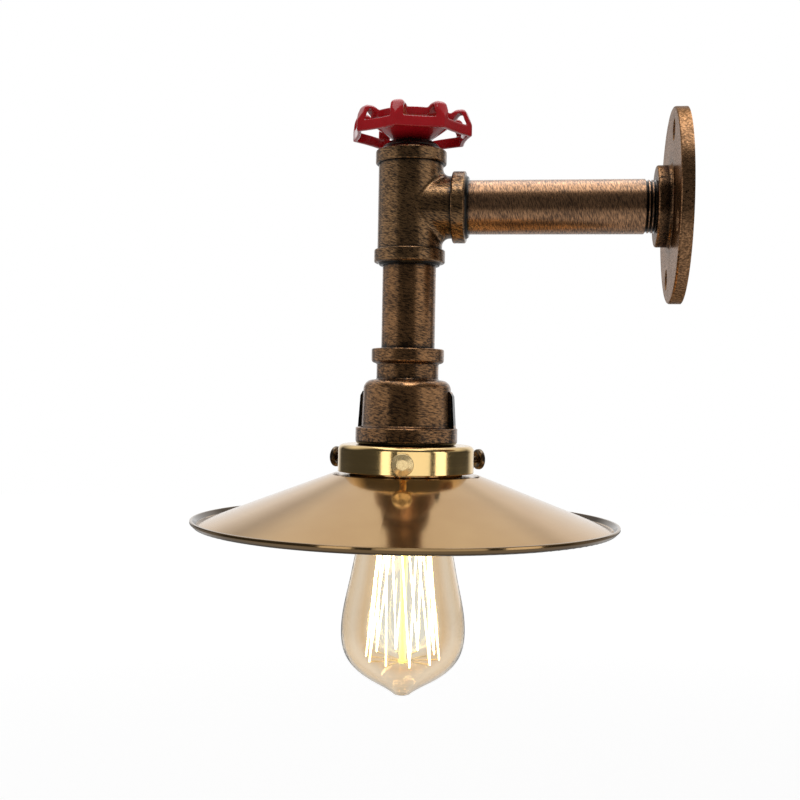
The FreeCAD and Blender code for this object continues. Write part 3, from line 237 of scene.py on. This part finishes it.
def shade_lip(tree):
    """Painted shade and painted reflection of the dark cone on the shade's upturned lip, darkest inside its
    bead.
    """
    radius = length(tree, from_axis(tree))
    depth = remap(tree, radius, SHADE_BEAD_RADIUS - 0.0002, SHADE_BEAD_RADIUS + 0.0004, 0.88, 0.55)
    return times(tree, beyond(tree, radius, SHADE_LIP_RADIUS, 0.0002), depth)


# ---- materials ----------------------------------------------------------------------------------
def bronze(name, stroke, slant, shine, grime=0.45, roughness=0.26, painted_shade_mask=None, coat=0.4, pits=0.0,
           relief=0.00006, edge=WHITE):
    """Antique finish: brown metal brushed in short fine strokes, with painted shade that turns it black in
    its crevices and where a painted-shade mask says.
    """
    material, tree, shader = new_material(name)
    light = colour(*(min(1.0, share * LIGHT_SHARE) for share in shine))
    dark = colour(*(share * grime for share in shine))
    strokes = noise(tree, place(tree, stroke, slant))
    patches = clouds(tree, 0.009, roughness=0.5)
    tone = maths(tree, "ADD", strokes, times(tree, maths(tree, "SUBTRACT", patches, 0.5), PATCH_SHARE))
    brushed = ramp(tree, tone, (0.39, dark), (0.50, colour(*shine)), (0.64, light))
    rubbed = mix(tree, times(tree, worn_edge(tree, 0.0007), 0.75), brushed, light)
    spots = clouds(tree, 0.0016)
    pitting = times(tree, remap(tree, spots, 0.58, 0.66, 0.0, pits), remap(tree, patches, 0.42, 0.56))
    # Painted shade: black close in corners, and ragged black further out from them.
    ragged_shade = times(tree, corner_shade(tree, 0.012, 0.70, 0.97), remap(tree, spots, 0.50, 0.60))
    painted_shade = larger(tree, corner_shade(tree, 0.0035, 0.62, 0.92), ragged_shade)
    if painted_shade_mask:
        painted_shade = larger(tree, painted_shade, painted_shade_mask(tree))
    feed(tree, shader, {
        "Base Color": mix(tree, painted_shade, mix(tree, pitting, rubbed, BLACK), BLACK),
        "Roughness": remap(tree, tone, 0.40, 0.62, roughness + 0.10, roughness),
        "Normal": bump(tree, tone, relief, 0.5),
        "Metallic": 0.95,
        "Specular Tint": edge,
        "Coat Weight": coat,
        "Coat Roughness": 0.22,
    })
    return material


def brass(name, tint, deep, roughness, rings, metallic=1.0, corner_shade_share=0.0, painted_shade_mask=None, coat=0.0):
    """Turned brass: fine rings round the lamp's axis, a cloudy lacquer tone, and painted shade in its corners
    and where a painted-shade mask says.
    """
    material, tree, shader = new_material(name)
    spread = from_axis(tree)
    turn = add(tree, "ShaderNodeVectorMath", {0: spread}, operation="NORMALIZE")
    lines = add(tree, "ShaderNodeCombineXYZ", {
        0: times(tree, length(tree, spread), 1 / rings),
        1: times(tree, coordinate(tree, place(tree), 2), 1 / rings),
    })
    turning = noise(tree, add(tree, "ShaderNodeVectorMath", {0: lines, 1: turn}, operation="ADD"), 2.0)
    base = mix(tree, remap(tree, clouds(tree, 0.03), 0.3, 0.7), colour(*tint), colour(*deep))
    # Painted shade in corners.
    base = mix(tree, times(tree, corner_shade(tree, 0.005, 0.35, 0.75), corner_shade_share), base, BLACK)
    if painted_shade_mask:
        base = mix(tree, painted_shade_mask(tree), base, BLACK)
    feed(tree, shader, {
        "Base Color": base,
        "Roughness": remap(tree, turning, 0.3, 0.7, roughness - 0.03, roughness + 0.05),
        "Normal": bump(tree, turning, 0.00001, 0.35),
        "Metallic": metallic,
        "Coat Weight": coat,
        "Coat Roughness": 0.15,
    })
    return material


def red_paint():
    """Thick glossy enamel with a faint orange peel, darker in corners as painted shade."""
    material, tree, shader = new_material("red_enamel")
    peel = clouds(tree, 0.0022, 1.5)
    tone = clouds(tree, 0.012)
    base = mix(tree, remap(tree, tone, 0.35, 0.7), colour(0.50, 0.008, 0.014), colour(0.60, 0.012, 0.020))
    # Painted shade in corners.
    shaded_corners = times(tree, corner_shade(tree, 0.006), 0.65)
    feed(tree, shader, {
        "Base Color": mix(tree, shaded_corners, base, colour(0.10, 0.002, 0.004)),
        "Roughness": remap(tree, peel, 0.3, 0.7, 0.15, 0.21),
        "Normal": bump(tree, peel, 0.00004, 0.3),
        "Coat Weight": 0.6,
        "Coat Roughness": 0.07,
    })
    return material


def glass(name, rim, body, face, ripple, clear=1.0, glow=0.0):
    """Clear blown glass with a slight ripple, tinted most between its face and its rim, with a painted glow
    where glow is set.
    """
    material, tree, shader = new_material(name)
    waves = noise(tree, place(tree, (0.02, 0.02, 0.035)), 1.0)
    slope = add(tree, "ShaderNodeLayerWeight", {"Blend": 0.5}, output=1)
    feed(tree, shader, {
        "Normal": bump(tree, waves, ripple, 0.4),
        "Base Color": ramp(tree, slope, (0.06, colour(*face)), (0.25, colour(*body)), (0.44, colour(*rim))),
        "Transmission Weight": clear,
        "Roughness": 0.0,
        "IOR": 1.46,
        "Emission Color": colour(1.0, 0.93, 0.25),
        "Emission Strength": glow,
    })
    return material


def glowing(name, glow, strength):
    """Hot carbon wire, a little uneven along its length."""
    material, tree, shader = new_material(name)
    feed(tree, shader, {
        "Base Color": colour(0.35, 0.2, 0.08),
        "Emission Color": colour(*glow),
        "Emission Strength": remap(tree, clouds(tree, 0.004, 1.0), 0.3, 0.7, strength * 0.75, strength * 1.2),
    })
    return material


def plain(name, first, second, roughness, metallic=0.0, grain=0.0012):
    """Moulded, drawn or glazed surface with a fine grain between two close colours."""
    material, tree, shader = new_material(name)
    grains = clouds(tree, grain, 3.0)
    feed(tree, shader, {
        "Base Color": mix(tree, remap(tree, grains, 0.35, 0.65), colour(*first), colour(*second)),
        "Roughness": remap(tree, grains, 0.3, 0.7, roughness, roughness + 0.1),
        "Normal": bump(tree, grains, 0.00003, 0.5),
        "Metallic": metallic,
    })
    return material


def dress(material, *names):
    """Gives a material to CAD nodes."""
    for name in names:
        NODES[name].data.materials.clear()
        NODES[name].data.materials.append(material)


def dress_bronze():
    """One bronze for each fitting, with strokes across it as it was brushed."""
    copper = (0.39, 0.205, 0.100)
    rust = (0.33, 0.175, 0.084)
    brown = (0.27, 0.135, 0.054)
    olive = (0.25, 0.136, 0.058)
    arm_stroke = (STROKE_LENGTH, 0.00045, STROKE_LENGTH)
    drop_stroke = (STROKE_LENGTH, STROKE_LENGTH, 0.00050)
    tee_stroke = (0.0024, 0.0024, 0.00055)
    reducer_stroke = (STROKE_LENGTH, STROKE_LENGTH, 0.00055)
    flange_stroke = (0.0012, 0.0012, 0.0008)
    plug_stroke = (0.0020, 0.0020, 0.0012)
    dress(bronze("arm_bronze", arm_stroke, (14, 0, 0), copper, 0.35, coat=0.75), "arm_pipe")
    dress(bronze("drop_bronze", drop_stroke, (-14, 0, 0), brown, 0.25), "drop_pipe")
    dress(bronze("tee_bronze", tee_stroke, (-18, 0, 0), olive, 0.2, painted_shade_mask=tee_lips), "tee")
    dress(bronze("reducer_bronze", reducer_stroke, (-10, 0, 0), brown, 0.2, painted_shade_mask=reducer_ribs), "reducer")
    dress(bronze("flange_bronze", flange_stroke, (0, 0, 25), rust, 0.50, 0.22, flange_holes, 0.10,
                 pits=0.9, relief=0.00012, edge=colour(0.45, 0.38, 0.33)), "wall_flange")
    dress(bronze("plug_bronze", plug_stroke, (0, 0, 0), (0.045, 0.030, 0.020)), "tee_plug")


def dress_bright():
    """Handwheel, lacquered brass parts and the bulb."""
    dress(red_paint(), "handwheel")
    dress(brass("gallery_lacquer", GOLD, (0.79, 0.54, 0.22), 0.13, 0.00035, coat=0.2),
          "shade_gallery", "shade_ring")
    dress(brass("shade_spun", (0.605, 0.375, 0.155), (0.555, 0.33, 0.130), 0.10, 0.0006, 0.95, 1.0,
                shade_lip, 0.25), "shade")
    # The side thumbscrews are the same brass as the front one, given a darker copy of it as painted shade.
    dress(plain("screw_brass", (0.86, 0.66, 0.34), (0.74, 0.54, 0.26), 0.24, 0.8), "thumbscrew_front")
    dress(plain("shaded_screw_brass", (0.26, 0.20, 0.14), (0.16, 0.12, 0.08), 0.24, 1.0),
          "thumbscrew_right", "thumbscrew_left")
    dress(glass("amber_glass", (1.0, 0.97, 0.91), (0.91, 0.69, 0.45), (0.99, 0.97, 0.89), 0.0002),
          "bulb_glass")
    # The stem has a painted yellow glow, though it is glass and no lamp.
    dress(glass("stem_glass", (0.97, 0.93, 0.70), (0.98, 0.95, 0.60), (0.99, 0.95, 0.45), 0.0001,
                0.4, 0.5), "bulb_stem")
    dress(glowing("hot_filament", (1.0, 0.80, 0.42), 9.0), "bulb_filament")
    dress(plain("support_wire", (0.72, 0.62, 0.45), (0.55, 0.46, 0.32), 0.3, 1.0), "bulb_supports")


def dress_inside():
    """Lampholder, fixings and wiring, which are mostly hidden."""
    dress(plain("cap_brass", GOLD, (0.66, 0.50, 0.25), 0.3, 1.0),
          "bulb_cap", "holder_screw_shell", "holder_contact", "holder_terminals")
    dress(plain("zinc", (0.60, 0.60, 0.58), (0.45, 0.45, 0.44), 0.32, 1.0),
          "wheel_spindle", "wheel_washer", "wheel_nut", "hollow_stud", "stud_nut", "bulb_contact",
          "earth_tag", "earth_screw")
    dress(plain("black_moulding", (0.022, 0.022, 0.022), (0.035, 0.035, 0.035), 0.5),
          "holder_cap", "holder_body")
    dress(plain("porcelain", (0.84, 0.83, 0.78), (0.78, 0.77, 0.72), 0.18), "holder_base")
    dress(plain("black_bead", (0.02, 0.02, 0.025), (0.04, 0.04, 0.05), 0.12), "bulb_cap_insulator")
    dress(plain("white_moulding", (0.80, 0.80, 0.76), (0.72, 0.72, 0.68), 0.45), "terminal_block")
    dress(plain("brown_sleeve", (0.20, 0.09, 0.04), (0.15, 0.065, 0.03), 0.45), "live_wire")
    dress(plain("blue_sleeve", (0.04, 0.16, 0.50), (0.03, 0.12, 0.40), 0.45), "neutral_wire")
    dress(plain("green_sleeve", (0.12, 0.42, 0.08), (0.62, 0.58, 0.06), 0.45, grain=0.006), "earth_wire")


# ---- softened casting ---------------------------------------------------------------------------
def soften_wheel():
    """Rounds the handwheel's edges as thick paint on a die casting does."""
    wheel = NODES["handwheel"]
    remesh = wheel.modifiers.new("casting", "REMESH")
    remesh.mode = "VOXEL"
    remesh.voxel_size = WHEEL_VOXEL
    remesh.use_smooth_shade = True
    smooth = wheel.modifiers.new("paint", "SMOOTH")
    smooth.factor = PAINT_FACTOR
    smooth.iterations = PAINT_PASSES


# ---- studio -------------------------------------------------------------------------------------
def seen_directly(tree):
    """1 for rays that see the backdrop itself or see it through glass, and 1 for rays off gloss."""
    path = add(tree, "ShaderNodeLightPath").node
    seen = larger(tree, path.outputs["Is Camera Ray"], path.outputs["Is Transmission Ray"])
    return seen, path.outputs["Is Glossy Ray"]


def make_world():
    """White wall behind the object and white ceiling over it, in a studio that is dark in front."""
    world = bpy.data.worlds.new("studio")
    bpy.context.scene.world = world
    world.use_nodes = True
    tree = world.node_tree
    seen, gloss = seen_directly(tree)
    direction = add(tree, "ShaderNodeTexCoord")
    ahead = coordinate(tree, direction, 0)
    above = coordinate(tree, direction, 2)
    wall = remap(tree, ahead, -0.70, -0.88, STUDIO_FRONT, STUDIO_WALL)
    behind = remap(tree, ahead, 0.20, -0.35, 0.0, STUDIO_CEILING)
    ceiling = times(tree, remap(tree, above, 0.22, 0.60), behind)
    mirrored = larger(tree, wall, ceiling)
    feed(tree, tree.nodes["Background"], {
        "Color": WHITE,
        "Strength": mix_value(tree, seen, mix_value(tree, gloss, STUDIO_EVEN, mirrored), 1.0),
    })


def area_lamp(name, place_at, aim, width, height, radiance, lit=()):
    """Soft lamp of a stated brightness, facing a point. It lights all, or only the nodes named."""
    data = bpy.data.lights.new(name, "AREA")
    data.shape = "RECTANGLE"
    data.size = width
    data.size_y = height
    data.energy = radiance * math.pi * width * height
    lamp = bpy.data.objects.new(name, data)
    bpy.context.scene.collection.objects.link(lamp)
    lamp.location = place_at
    lamp.rotation_euler = (Vector(aim) - Vector(place_at)).to_track_quat("-Z", "Y").to_euler()
    lamp.visible_camera = False
    if lit:
        group = bpy.data.collections.new(name + "_lit")
        for node in lit:
            group.objects.link(NODES[node])
        lamp.light_linking.receiver_collection = group


def around(azimuth, distance, level):
    """Point at an azimuth from the camera's side, measured towards the wall, round the lamp's axis."""
    angle = math.radians(azimuth)
    return (distance * math.cos(angle), AXIS_Y + distance * math.sin(angle), level)


def make_lamps():
    """Ceiling panel for all, panels and a small lamp for the dull fittings, and panels for the brass."""
    centre = (0, AXIS_Y, -0.10)
    fittings = ("arm_pipe", "drop_pipe", "tee", "reducer", "wall_flange", "tee_plug")
    brasswork = ("shade_gallery", "shade_ring", "thumbscrew_front", "shade")
    area_lamp("overhead", (-0.06, -0.12, 1.15), (-0.04, -0.12, 0), 1.2, 1.4, 1.6)
    for name, azimuth, width, radiance, lit in (
        ("fitting_left", -84, 2.3, 0.46, fittings),
        ("fitting_right", 78, 2.1, 0.55, fittings),
        ("collar_front", 21, 1.25, 1.15, brasswork),
        ("collar_left", -26, 0.36, 1.9, brasswork),
        ("collar_right", 67, 0.45, 2.1, brasswork),
    ):
        lamp_at = around(azimuth, LAMP_REACH, LAMP_LEVEL)
        area_lamp(name, lamp_at, centre, width, LAMP_HEIGHT, radiance, lit)
    area_lamp("shoulder_glint", around(12, 0.40, 0.66), centre, 0.30, 0.30, 4.2, ("tee", "reducer"))


def make_floor():
    """Pale floor that blends into the white backdrop, keeps the soft shadow and is dim in mirrors."""
    bpy.ops.mesh.primitive_plane_add(size=FLOOR_SIZE, location=(0, 0, FLOOR_LEVEL))
    floor = bpy.context.object
    floor.name = "floor"
    material, tree, shader = new_material("pale_floor")
    seen, gloss = seen_directly(tree)
    spot = place(tree)
    distance = length(tree, spot)
    ahead = coordinate(tree, spot, 0)
    lift = times(tree, seen, remap(tree, distance, 0.5, 3.0, 0.48, 0.68))
    behind = times(tree, gloss, remap(tree, ahead, -0.6, -1.3, 0.0, 0.25))
    far = remap(tree, distance, 1.0, 2.8, 0.0, 0.9)
    near_wall = remap(tree, ahead, 0.1, -0.5, 0.0, 0.35)
    pale = mix(tree, clouds(tree, 0.01, 3.0), colour(0.80, 0.80, 0.80), colour(0.82, 0.82, 0.82))
    feed(tree, shader, {
        "Base Color": mix(tree, times(tree, gloss, larger(tree, far, near_wall)), pale, BLACK),
        "Roughness": 0.9,
        "Specular IOR Level": 0.1,
        "Emission Color": WHITE,
        "Emission Strength": larger(tree, lift, behind),
    })
    floor.data.materials.append(material)


make_camera()
dress_bronze()
dress_bright()
dress_inside()
soften_wheel()
make_world()
make_lamps()
make_floor()
bpy.context.scene.view_settings.view_transform = "Standard"
